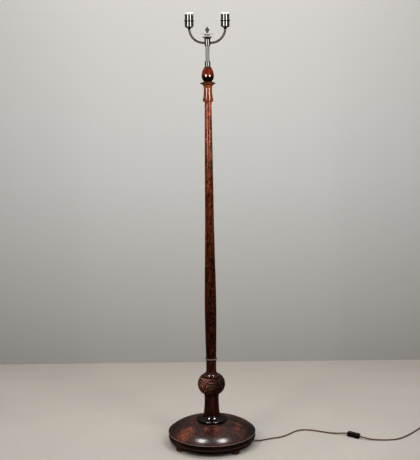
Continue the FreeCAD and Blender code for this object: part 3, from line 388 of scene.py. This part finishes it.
def finish_turnings():
    """Stained wood with upright fibres under lacquer."""
    for name, turning in TURNINGS.items():
        wood = lacquered(name, 0.6, turning["gloss"])
        fibres = wood.noise(wood.scaled_place(260, 260, 14), 1.0, 6, 0.6)
        broad = wood.noise(wood.scaled_place(60, 60, 9), 1.0, 3, 0.55, 0.6)
        streaks = wood.ramp(fibres, list(zip((0.34, 0.5, 0.7), turning["tones"])))
        colour = wood.multiply(streaks, wood.ramp(broad, [(0.32, 0.45), (0.62, 1.0)]))
        if "mottle" in turning:
            spots = wood.noise(wood.scaled_place(150, 150, 95), 1.0, 4, 0.65, 1.0)
            mottle = wood.ramp(spots, [(0.44, 0.1), (0.56, 1.9)])
            colour = wood.mix(turning["mottle"], colour, mottle, "MULTIPLY")
        if "height_tones" in turning:
            along = wood.span(wood.height(), *turning["stretch"])
            colour = wood.multiply(colour, wood.ramp(along, turning["height_tones"]))
        wood.link(colour, "Base Color")
        wood.link(wood.ramp(fibres, [(0.3, 0.6), (0.7, 0.45)]), "Roughness")
        wood.bump(fibres, 0.05, 0.0003)
        wood.cover_nodes(*turning["pieces"])


# Where the veneer's figure shows bright, and one painted reflection: a spot on the base, and how far it
# reaches, in metres.
FIGURE_AND_PAINTED_REFLECTION = (
    ((-0.106, -0.1, 0.072), 0.004, 0.042),
    ((-0.085, -0.075, 0.08), 0.0, 0.026),
    ((0.097, -0.066, 0.077), 0.002, 0.018),
    ((0.105, -0.03, 0.079), 0.002, 0.02),
    ((-0.021, -0.087, 0.087), 0.001, 0.016),
    ((0.022, -0.087, 0.087), 0.001, 0.016),
    # A painted reflection, low on the band by the left foot.
    ((-0.125, -0.112, 0.038), 0.004, 0.03),
    ((-0.02, 0.12, 0.075), 0.01, 0.05),
    ((0.09, 0.1, 0.072), 0.004, 0.035),
)
# Painted shade at the base's right and left sides, given in the same way.
PAINTED_SHADE_SPOTS = (
    ((0.15, -0.03, 0.06), 0.02, 0.09),
    ((-0.15, 0.0, 0.06), 0.02, 0.08),
)
# The rim is darker than the dome above it: the heights between which that ends, and the rim's share.
RIM_TOP = (0.049, 0.053)
RIM_TONE = 0.22
# Painted highlights along the base's two edges, the lip and the ridge: height, half width and colour.
PAINTED_EDGE_HIGHLIGHTS = (
    (0.0482, 0.0013, (0.3, 0.21, 0.18)),
    (0.029, 0.0009, (0.12, 0.07, 0.05)),
)


def patches(finish, spots):
    """1 at any of the spots and 0 away from all of them."""
    shown = None
    for spot in spots:
        patch = finish.near(*spot)
        shown = patch if shown is None else finish.math("MAXIMUM", shown, patch)
    return shown


def finish_base():
    """Burr veneer under glossy lacquer: bright figure on near-black, painted shade, reflection and edge
    highlights.
    """
    veneer = lacquered("burr_veneer", 0.6, 0.2)
    place = veneer.object_place()
    swirl = veneer.noise(place, 60, 6, 0.7, 2.2)
    fleck = veneer.noise(place, 200, 5, 0.7, 0.8)
    broad = veneer.noise(place, 14, 4, 0.6, 1.0)
    tones = [(0.38, (0.012, 0.005, 0.005)), (0.53, (0.06, 0.021, 0.016)), (0.7, (0.19, 0.07, 0.05))]
    ground = veneer.ramp(fleck, tones)
    ground = veneer.multiply(ground, veneer.ramp(broad, [(0.38, 0.45), (0.62, 1.2)]))
    tones = [(0.4, (0.03, 0.008, 0.005)), (0.5, (0.26, 0.055, 0.02)), (0.64, (0.55, 0.16, 0.06))]
    figure = veneer.ramp(swirl, tones)
    flecked = veneer.ramp(fleck, [(0.38, 0.7), (0.56, 0.0)])
    figure = veneer.mix(flecked, figure, (0.02, 0.006, 0.004))
    ragged = veneer.span(swirl, 0.4, 0.6, 0.2, 1.6)
    # Bright patches of figure, one of them a painted reflection.
    figure_and_reflection = veneer.math("MULTIPLY", patches(veneer, FIGURE_AND_PAINTED_REFLECTION), ragged)
    level = veneer.height()
    rim = veneer.ramp(veneer.span(level, *RIM_TOP), [(0.0, RIM_TONE), (1.0, 1.0)])
    colour = veneer.multiply(veneer.mix(figure_and_reflection, ground, figure), rim)
    # Painted shade at the base's right and left sides.
    painted_shade = veneer.ramp(patches(veneer, PAINTED_SHADE_SPOTS), [(0.0, 1.0), (1.0, 0.3)])
    colour = veneer.multiply(colour, painted_shade)
    # Painted highlights along the lip and the ridge.
    for edge, half, wear_and_painted_light in PAINTED_EDGE_HIGHLIGHTS:
        line = veneer.span(veneer.off(level, edge), half * 0.6, half, 1.0, 0.0)
        colour = veneer.mix(line, colour, wear_and_painted_light)
    veneer.link(colour, "Base Color")
    veneer.link(veneer.ramp(fleck, [(0.3, 0.6), (0.7, 0.45)]), "Roughness")
    veneer.bump(swirl, 0.03, 0.0008)
    veneer.cover_nodes("base_disc")


# The carved ball, in metres: its profile from the foot up, as two arcs, each given by its centre's
# distance from the axis and its radius.
BALL_FOOT = 0.202
BALL_WAIST = 0.242
BALL_TOP = 0.272
BALL_ARCS = ((0.00659, 0.04766), (0.01007, 0.04418))
BALL_BORE = 0.0121
BALL_RADIUS = 0.05425
CARVING_DEPTH = 0.003
# The carving: a plain foot, whorls and leaves round the ball, and a rope of beads at the crown.
# Shares are of the ball's height, and depths of CARVING_DEPTH.
FOOT_SHARE = 0.06
FOOT_DEPTH = 0.4
CROWN_SHARE = 0.93
CROWN_BEADS = 44
CROWN_DEPTH = 0.9
RIM_SHARE = 0.03
ROSETTES = 6
ROSETTE_STRETCH = 1.25
WHORL_RADIUS = 0.021
WHORL_EYE = 0.003
WHORL_PITCH = 0.0085
WHORL_ARMS = 3
WHORL_DEPTH = 0.84
WHORL_EDGE = 0.002
LEAF_PITCH = 0.0105
LEAF_WAVE = 0.4
LEAF_TWIST = 5
LEAF_DEPTH = 0.8


def ball_radius(height):
    centre, radius = BALL_ARCS[0] if height < BALL_WAIST else BALL_ARCS[1]
    return centre + math.sqrt(max(radius**2 - (height - BALL_WAIST) ** 2, 0.0))


def groove(phase):
    """0 on a ridge and 1 in the hollow half a turn of the phase away."""
    return 0.5 - 0.5 * math.cos(phase)


def carved(turn, share):
    """How deep the carving goes, from 0 on the ridges to 1 in the hollows."""
    if share > CROWN_SHARE:
        return CROWN_DEPTH * groove(turn * CROWN_BEADS)
    if share < FOOT_SHARE:
        return FOOT_DEPTH
    across = (turn * ROSETTES / math.tau) % 1.0 - 0.5
    x = across * math.tau * BALL_RADIUS / ROSETTES
    y = (share - 0.5) * (BALL_TOP - BALL_FOOT) * ROSETTE_STRETCH
    away = math.hypot(x, y)
    angle = math.atan2(y, x)
    if away <= WHORL_EYE:
        return 0.0
    if away < WHORL_RADIUS:
        return WHORL_DEPTH * groove(math.tau * away / WHORL_PITCH - WHORL_ARMS * angle)
    rim = ease((away - WHORL_RADIUS) / WHORL_EDGE)
    phase = math.tau * (away / LEAF_PITCH + LEAF_WAVE * math.sin(2 * angle)) + LEAF_TWIST * angle
    return LEAF_DEPTH * rim * groove(phase)


def make_ball():
    """The ball with its carving, and the bore through it."""
    turns, levels = 420, 64
    angles = [math.tau * step / turns for step in range(turns)]
    mesh = bmesh.new()

    def add_ring(height, radii):
        points = zip(angles, radii)
        return [mesh.verts.new((r * math.cos(turn), r * math.sin(turn), height)) for turn, r in points]

    rings = []
    for level in range(levels + 1):
        share = level / levels
        height = BALL_FOOT + (BALL_TOP - BALL_FOOT) * share
        depth = CARVING_DEPTH * ease(share / FOOT_SHARE) * ease((1 - share) / RIM_SHARE)
        radii = [ball_radius(height) - depth * carved(turn, share) for turn in angles]
        rings.append(add_ring(height, radii))
    for height in (BALL_TOP, BALL_FOOT):
        rings.append(add_ring(height, [BALL_BORE] * turns))
    for lower, upper in zip(rings, rings[1:] + rings[:1]):
        for step in range(turns):
            after = (step + 1) % turns
            face = mesh.faces.new((lower[step], lower[after], upper[after], upper[step]))
            face.smooth = True
    data = bpy.data.meshes.new("carved_ball_relief")
    mesh.to_mesh(data)
    mesh.free()
    ball = bpy.data.objects.new("carved_ball_relief", data)
    bpy.context.scene.collection.objects.link(ball)
    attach(ball, "stand")
    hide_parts("carved_ball")
    return ball


def finish_ball(ball):
    """Stained carving: pinkish ridges, with painted shade darkening the hollows to near-black and
    painted light on the upper left.
    """
    wood = lacquered("carved_wood", 0.5, 0.12)
    above = wood.math("SUBTRACT", wood.height(), BALL_WAIST)
    upper = wood.math("GREATER_THAN", above, 0.0)
    centre, radius = (wood.span(upper, 0.0, 1.0, *pair) for pair in zip(*BALL_ARCS))
    across = wood.math("SUBTRACT", wood.out(), centre)
    squares = [wood.math("MULTIPLY", leg, leg) for leg in (across, above)]
    depth = wood.math("SUBTRACT", radius, wood.math("SQRT", wood.math("ADD", *squares)))
    # Painted shade: the deeper the carving, the darker its colour, down to near-black in the hollows.
    tones = [
        (0.0, (0.26, 0.12, 0.085)),
        (0.22, (0.09, 0.027, 0.015)),
        (0.55, (0.02, 0.006, 0.004)),
        (1.0, (0.002, 0.001, 0.001)),
    ]
    relief = wood.ramp(wood.span(depth, 0.0, CARVING_DEPTH), tones)
    tone = wood.noise(wood.scaled_place(70, 70, 70), 1.0, 5)
    colour = wood.multiply(relief, wood.ramp(tone, [(0.35, 0.3), (0.65, 1.2)]))
    # Painted light: the ball's upper left is lightened and the rest darkened.
    wear_and_painted_light = wood.near((-0.035, -0.04, 0.26), 0.01, 0.055)
    light = wood.mix(wear_and_painted_light, (0.26, 0.2, 0.18), (2.3, 2.3, 2.3))
    wood.link(wood.multiply(colour, light), "Base Color")
    wood.link(wood.ramp(tone, [(0.3, 0.6), (0.7, 0.4)]), "Roughness")
    wood.bump(tone, 0.1, 0.0005)
    wood.cover(ball, NODES["carved_ball"])


# A lampholder's two dark bands, in metres. One is the joint of cap and sleeve: its height, and how
# far from it the band fades. The other is painted shade under the cap's foot: the heights where it
# fades.
HOLDER_JOINT = 1.6472
JOINT_EDGE = (0.0012, 0.0024)
HOLDER_FOOT = (1.6215, 1.6265)
# The painted highlight in the dish's middle ends between these distances from the axis.
DISH_PAINTED_HIGHLIGHT = (0.0115, 0.0145)

# Platings: the colour, the roughness where it is clear and where it is hazy, how metallic it is, and
# the pieces that have it.
PLATINGS = {
    "bright_chrome": ((0.55, 0.53, 0.52), 0.05, 0.06, 1.0, ("clamp_nut", "arm_hub")),
    "worn_chrome": ((0.4, 0.385, 0.385), 0.12, 0.14, 0.7, ("mast_tube",)),
    "dark_plate": ((0.17, 0.12, 0.11), 0.15, 0.2, 0.6, ("arm_left", "arm_right")),
    "black_plate": ((0.09, 0.08, 0.075), 0.14, 0.22, 0.7, ("hub_cup",)),
    "grey_plate": ((0.14, 0.12, 0.115), 0.12, 0.16, 0.75, ("finial",)),
}


def plated(name, base, clear, hazy, metallic):
    """Plated metal whose shine changes from place to place, and its colour, which does too."""
    metal = Finish(name, Metallic=metallic)
    haze = metal.noise(metal.scaled_place(30, 30, 30), 1.0, 4, 0.5, 0.4)
    wear_and_painted_light = tuple(value * 0.92 for value in base)
    metal.link(metal.ramp(haze, [(0.35, clear), (0.75, hazy)]), "Roughness")
    return metal, metal.ramp(haze, [(0.35, base), (0.75, wear_and_painted_light)])


def finish_plating():
    for name, (*look, pieces) in PLATINGS.items():
        metal, colour = plated(name, *look)
        metal.link(colour, "Base Color")
        metal.cover_nodes(*pieces)

    holder, bright = plated("holder_chrome", (0.6, 0.57, 0.56), 0.05, 0.06, 1.0)
    # Chrome, dark at the joint and with painted shade under the cap's foot.
    off_joint = holder.span(holder.off(holder.height(), HOLDER_JOINT), *JOINT_EDGE)
    off_foot = holder.span(holder.height(), *HOLDER_FOOT)
    off_bands = holder.math("MULTIPLY", off_joint, off_foot)
    holder.link(holder.mix(off_bands, (0.04, 0.03, 0.03), bright), "Base Color")
    holder.cover_nodes(*[f"holder_{part}_{side}" for part in ("cap", "sleeve") for side in SIDES])

    dish = Finish("dish_with_painted_highlight", Roughness=0.35, Specular_IOR_Level=0.4)
    brim = dish.span(dish.out(), *DISH_PAINTED_HIGHLIGHT)
    # Painted highlight: a pale, partly metallic middle inside a grey brim.
    dish.link(dish.mix(brim, (0.95, 0.94, 0.93), (0.4, 0.38, 0.37)), "Base Color")
    dish.link(dish.ramp(brim, [(0.0, 0.6), (1.0, 0.0)]), "Metallic")
    dish.cover_nodes("shade_dish")


def finish_inner_metal():
    brass = Finish("brass", Metallic=1.0)
    tarnish = brass.noise(brass.scaled_place(150, 150, 150), 1.0, 5)
    brass.link(brass.ramp(tarnish, [(0.3, (0.5, 0.33, 0.11)), (0.7, (0.8, 0.6, 0.28))]), "Base Color")
    brass.link(brass.ramp(tarnish, [(0.3, 0.4), (0.7, 0.22)]), "Roughness")
    names = [f"{part}_{side}" for part in ("thread_shell", "centre_contact") for side in SIDES]
    names += ["shaft_insert", "split_collet", "terminal_screws", "switch_contact", "plug_pins"]
    brass.cover_nodes(*names)

    steel = Finish("zinc_steel", Metallic=1.0)
    spangle = steel.noise(steel.scaled_place(120, 120, 120), 1.0, 4)
    steel.link(steel.ramp(spangle, [(0.3, (0.3, 0.3, 0.3)), (0.7, (0.5, 0.5, 0.49))]), "Base Color")
    steel.link(steel.ramp(spangle, [(0.3, 0.45), (0.7, 0.3)]), "Roughness")
    steel.cover_nodes("tie_rod", "tie_nut", "tie_washer", "top_stud", "guide_tube")
    steel.cover_nodes("ballast_screws", "clamp_screws", "cord_clamp")

    iron = Finish("cast_iron", Metallic=0.6, Roughness=0.7)
    grit = iron.noise(iron.scaled_place(300, 300, 300), 1.0, 6)
    iron.link(iron.ramp(grit, [(0.3, (0.02, 0.018, 0.017)), (0.7, (0.07, 0.06, 0.055))]), "Base Color")
    iron.bump(grit, 0.4, 0.0006)
    iron.cover_nodes("ballast_plate")


def finish_porcelain():
    glaze = Finish("white_glaze", Coat_Weight=1.0, Coat_Roughness=0.05, Roughness=0.3)
    speck = glaze.noise(glaze.scaled_place(200, 200, 200), 1.0, 4)
    glaze.link(glaze.ramp(speck, [(0.3, (0.8, 0.79, 0.76)), (0.7, (0.88, 0.87, 0.85))]), "Base Color")
    glaze.bump(speck, 0.03, 0.0003)
    names = [f"{part}_{side}" for part in ("porcelain_rim", "contact_block") for side in SIDES]
    glaze.cover_nodes(*names)


def finish_cord(cord):
    sheath = Finish("brown_sheath", Roughness=0.45, Coat_Weight=0.2, Coat_Roughness=0.3)
    tone = sheath.noise(sheath.scaled_place(70, 70, 70), 1.0, 5)
    sheath.link(sheath.ramp(tone, [(0.3, (0.10, 0.05, 0.035)), (0.7, (0.19, 0.1, 0.07))]), "Base Color")
    sheath.bump(tone, 0.1, 0.0003)
    sheath.cover(cord)
    sheath.cover_nodes("riser_cord", "cord_slack", "mast_cord", "arm_wire_left", "arm_wire_right")

    moulding = Finish("dark_moulding", Coat_Weight=0.3, Coat_Roughness=0.2, Specular_IOR_Level=0.1)
    grain = moulding.noise(moulding.scaled_place(400, 400, 400), 1.0, 4)
    tones = [(0.3, (0.005, 0.003, 0.0028)), (0.7, (0.014, 0.008, 0.007))]
    moulding.link(moulding.ramp(grain, tones), "Base Color")
    moulding.link(moulding.ramp(grain, [(0.3, 0.3), (0.7, 0.42)]), "Roughness")
    moulding.bump(grain, 0.08, 0.0002)
    moulding.cover_nodes("switch_base", "switch_cover", "plug_body", "switch_rocker")


# Stage ------------------------------------------------------------------------------------------

STAGE_REACH = 7.5
WALL_HEIGHT = 5.0
# The wall's colour along its lowest 2.1 m, with painted light brightest a little under a metre up.
WALL_SPAN = 2.1
WALL_TONES_AND_PAINTED_LIGHT = [
    (0.03, (0.480, 0.474, 0.463)),
    (0.15, (0.526, 0.522, 0.511)),
    (0.3, (0.560, 0.561, 0.552)),
    (0.44, (0.577, 0.580, 0.572)),
    (0.58, (0.561, 0.560, 0.550)),
    (0.71, (0.530, 0.523, 0.511)),
    (0.82, (0.498, 0.487, 0.475)),
]
# The floor's colour from just in front of the lamp to the wall, with painted light brighter in front.
FLOOR_SPAN = (-0.3, WALL_DISTANCE)
FLOOR_TONES_AND_PAINTED_LIGHT = [(0.0, (0.502, 0.469, 0.42)), (1.0, (0.464, 0.422, 0.37))]


def make_plane(name, corners):
    data = bpy.data.meshes.new(name)
    data.from_pydata(corners, [], [tuple(range(len(corners)))])
    plane = bpy.data.objects.new(name, data)
    bpy.context.scene.collection.objects.link(plane)
    plane.visible_glossy = False
    return plane


def make_floor():
    corners = [(-1, -1), (1, -1), (1, 1), (-1, 1)]
    floor = make_plane("floor", [(x * STAGE_REACH, y * STAGE_REACH, 0) for x, y in corners])
    finish = Finish("pale_floor", Roughness=0.6, Specular_IOR_Level=0.2)
    place = finish.object_place()
    back = finish.node("SeparateXYZ", {"Vector": place}).outputs["Y"]
    # Painted light on the floor: brighter in front, dimmer towards the wall.
    fade = finish.ramp(finish.span(back, *FLOOR_SPAN), FLOOR_TONES_AND_PAINTED_LIGHT)
    clouds = finish.ramp(finish.noise(place, 2.5, 5), [(0.3, 0.96), (0.7, 1.04)])
    finish.link(finish.multiply(fade, clouds), "Base Color")
    finish.cover(floor)
    return floor


def make_wall():
    """A wall that shows its front and lets everything through from behind."""
    reach = STAGE_REACH
    corners = [(-reach, 0), (reach, 0), (reach, WALL_HEIGHT), (-reach, WALL_HEIGHT)]
    wall = make_plane("wall", [(x, WALL_DISTANCE, z) for x, z in corners])
    finish = Finish("pale_wall", Roughness=0.9, Specular_IOR_Level=0.1)
    rise = finish.span(finish.height(), 0.0, WALL_SPAN)
    # Painted light on the wall: brightest a little under a metre up.
    finish.link(finish.ramp(rise, WALL_TONES_AND_PAINTED_LIGHT), "Base Color")
    behind = finish.node("NewGeometry").outputs["Backfacing"]
    clear = finish.node("BsdfTransparent").outputs["BSDF"]
    front = finish.surface.outputs["BSDF"]
    seen = finish.node("MixShader", {0: behind, 1: front, 2: clear}).outputs["Shader"]
    finish.tree.links.new(seen, finish.tree.nodes["Material Output"].inputs["Surface"])
    finish.cover(wall)


def around(degrees, distance, level):
    """A place in metres, at an angle to the right of the lamp's front."""
    angle = math.radians(degrees)
    return (distance * math.sin(angle), -distance * math.cos(angle), level)


# The lights stand on the lamp's right and mirrored on its left. A row gives a light's place, what it
# faces, its width and height, all in metres, and its radiance. The soft lights' rows end in a colour.
SOFT_LIGHTS = {
    "softbox": (around(42, 1.5, 1.83), (0, 0, 1.83), 0.6, 1.35, 9.0, (1.0, 0.98, 0.96)),
    "overhead": ((0.7, 0.3, 2.85), (0.5, 0.1, 0), 1.0, 1.1, 6.0, (1.0, 1.0, 1.0)),
}
# The panel that all lacquer and plate mirror.
SHEEN = (around(36, 1.5, 1.38), (0, 0, 1.38), 0.44, 0.9, 2.8)
# Ovals that only shine on the piece named, with the left one's radiance and the right one's.
SHINES = {
    "knop": (around(36, 1.6, 1.47), (0, 0, 1.45), 0.42, 0.45, (80.0, 80.0), "egg_knop"),
    "capital": (around(36, 1.6, 1.5), (0, 0, 1.4), 0.3, 0.7, (34.0, 34.0), "capital"),
    "shaft": (around(36, 1.6, 1.25), (0, 0, 1.25), 0.3, 0.5, (10.0, 4.0), "main_shaft"),
    "foot": ((0.94, -0.77, 2.42), (0, 0, 0.1), 0.5, 0.5, (95.0, 95.0), "pedestal"),
    "rim": ((0.12, 0.93, 1.07), (0, 0, 0.1), 0.16, 0.16, (12.0, 12.0), "pedestal"),
    "dome": ((0.64, 0.1, 2.58), (0, 0, 0.06), 0.8, 0.5, (30.0, 30.0), "base_disc"),
    "neck": ((0.64, 0.1, 2.58), (0, 0, 0.28), 0.4, 0.3, (110.0, 110.0), "neck"),
}
# Light for the far floor alone, from straight above it: where it stands, its width and height.
WASHES = {
    "front": (0, -6.6, 9, 5),
    "left": (-6.6, 0, 5, 9),
    "right": (6.6, 0, 5, 9),
}
WASH_LEVEL = 3
WASH_RADIANCE = 1.1


def make_light(name, place, aim, width, height, radiance, colour=(1, 1, 1)):
    data = bpy.data.lights.new(name, "AREA")
    data.shape = "RECTANGLE"
    data.size = width
    data.size_y = height
    data.energy = radiance * math.pi * width * height
    data.color = colour
    light = bpy.data.objects.new(name, data)
    bpy.context.scene.collection.objects.link(light)
    light.location = place
    light.rotation_euler = (Vector(aim) - Vector(place)).to_track_quat("-Z", "Y").to_euler()
    return light


def light_only(light, item):
    shown = bpy.data.collections.new(f"{light.name}_shows_on")
    shown.objects.link(item)
    light.light_linking.receiver_collection = shown


def mirrored(side, place):
    """The same place on the right, where side is 1, or on the left, where it is -1."""
    return (side * place[0], *place[1:])


def make_lights(floor):
    """The far floor's light, soft light for the shading, and panels that only show as highlights."""
    for name, (x, y, width, height) in WASHES.items():
        wash = make_light(f"{name}_wash", (x, y, WASH_LEVEL), (x, y, 0), width, height, WASH_RADIANCE)
        wash.visible_camera = wash.visible_glossy = False
        light_only(wash, floor)
    for index, side in enumerate((-1, 1)):
        for name, (place, aim, *look) in SOFT_LIGHTS.items():
            soft = make_light(f"{name}_{side}", mirrored(side, place), mirrored(side, aim), *look)
            soft.visible_glossy = False
        place, aim, *look = SHEEN
        sheen = make_light(f"sheen_{side}", mirrored(side, place), aim, *look)
        sheen.visible_diffuse = sheen.visible_camera = False
        for name, (place, aim, width, height, radiances, piece) in SHINES.items():
            place = mirrored(side, place)
            shine = make_light(f"{name}_{side}", place, aim, width, height, radiances[index])
            shine.data.shape = "ELLIPSE"
            shine.visible_diffuse = shine.visible_camera = False
            light_only(shine, NODES[piece])


# The room's grey, from its front half, which is darkest, to straight behind the lamp.
ROOM_GREYS = [(0.45, (0.035, 0.035, 0.037)), (1.0, (0.1, 0.1, 0.1))]
# The ceiling that only gloss mirrors: how high a direction is where it begins and is brightest.
CEILING_SPAN = (0.3, 0.8)
CEILING_STRENGTH = 0.4
# What the camera sees beyond the wall and floor.
BACKDROP = (0.62, 0.6, 0.585, 1)


def make_world():
    """A dim room with a paler ceiling for gloss, and a pale backdrop for the camera."""
    world = bpy.data.worlds.new("world")
    bpy.context.scene.world = world
    world.use_nodes = True
    tree = world.node_tree
    tree.nodes.clear()
    rays = add_node(tree, "LightPath").outputs
    direction = add_node(tree, "TexCoord").outputs["Generated"]
    along = add_node(tree, "SeparateXYZ", {"Vector": direction}).outputs
    back = add_node(tree, "MapRange", {"Value": along["Y"], "From Min": -1}).outputs["Result"]
    room = add_node(tree, "Background", {"Color": add_ramp(tree, back, ROOM_GREYS)}).outputs[0]
    low, high = CEILING_SPAN
    inputs = {"Value": along["Z"], "From Min": low, "From Max": high, "To Max": CEILING_STRENGTH}
    up = add_node(tree, "MapRange", inputs).outputs["Result"]
    shown = add_node(tree, "Math", {0: up, 1: rays["Is Glossy Ray"]}, operation="MULTIPLY").outputs[0]
    ceiling = add_node(tree, "Background", {"Strength": shown}).outputs[0]
    light = add_node(tree, "AddShader", {0: room, 1: ceiling}).outputs[0]
    pale = add_node(tree, "Background", {"Color": BACKDROP}).outputs[0]
    seen = add_node(tree, "MixShader", {0: rays["Is Camera Ray"], 1: light, 2: pale}).outputs[0]
    add_node(tree, "OutputWorld", {"Surface": seen})


make_camera()
cord = make_cord()
ball = make_ball()
finish_turnings()
finish_base()
finish_ball(ball)
finish_plating()
finish_inner_metal()
finish_porcelain()
finish_cord(cord)
floor = make_floor()
make_wall()
make_lights(floor)
make_world()

bpy.context.scene.view_settings.view_transform = "Standard"
bpy.context.view_layer.update()
